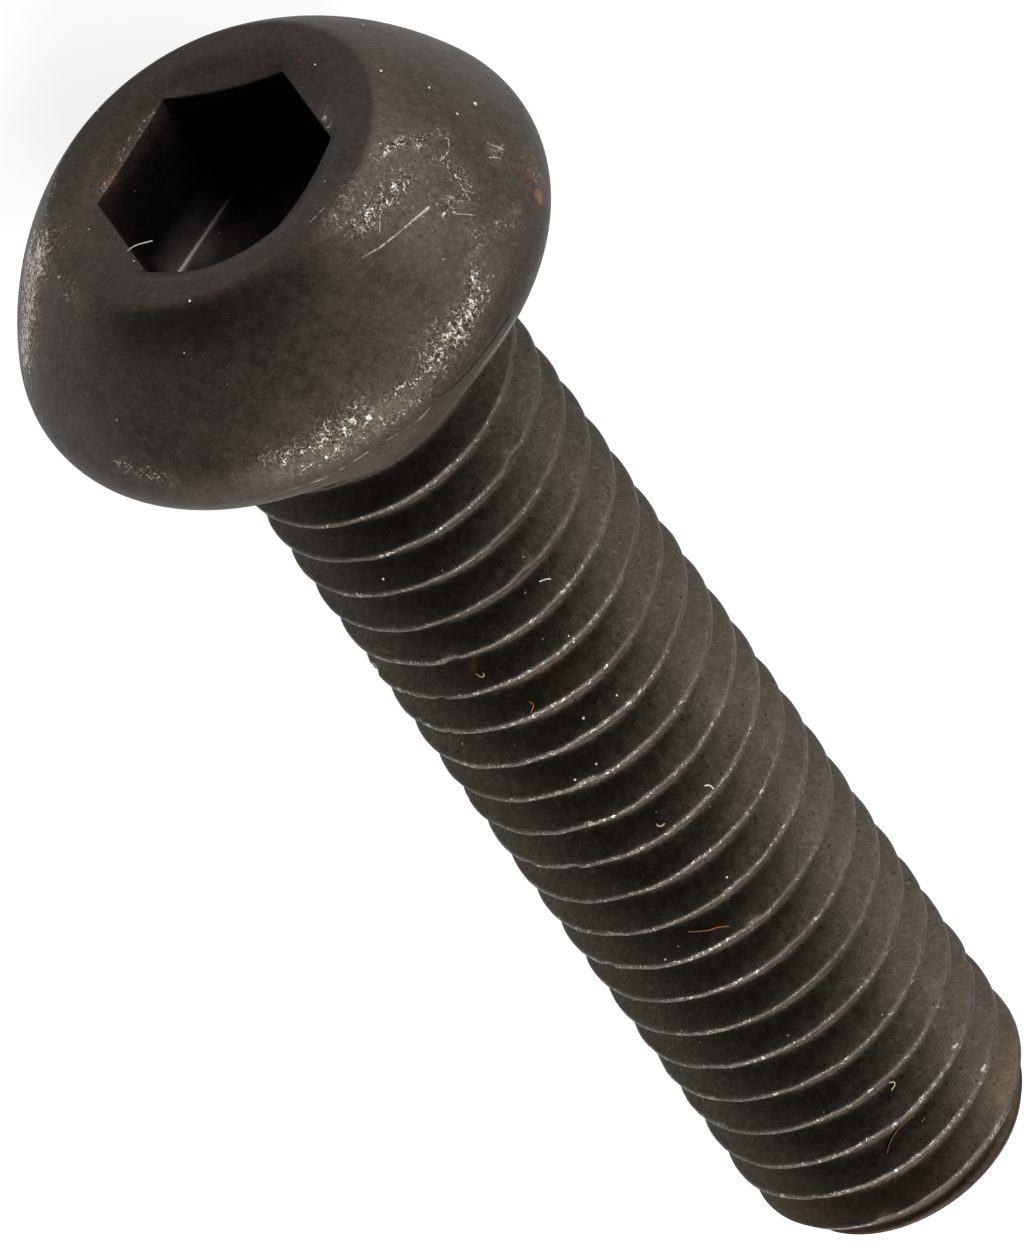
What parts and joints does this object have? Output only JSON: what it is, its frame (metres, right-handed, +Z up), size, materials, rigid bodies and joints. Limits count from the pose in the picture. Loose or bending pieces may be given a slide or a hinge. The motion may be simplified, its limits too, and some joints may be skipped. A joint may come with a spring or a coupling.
{
  "type": "button head screw",
  "caption": "Button head cap screw with a hexagon socket and a fully threaded metric shank, in worn black-oxide steel, lying at rest.",
  "frame": {"origin": "centre of the resting screw's bounding box, on the floor", "axes": "+X from the head towards the tip along the floor, +Z up; the screw's own axis slopes down by 5.3 degrees towards the tip"},
  "size_m": [0.0288, 0.0104, 0.0104],
  "materials": {
    "blackened_steel": "worn black oxide, semi-matt, with bare bright scuffs on the head and thread crests"
  },
  "bodies": {
    "root": {"screw": "blackened_steel"}
  },
  "joints": []
}
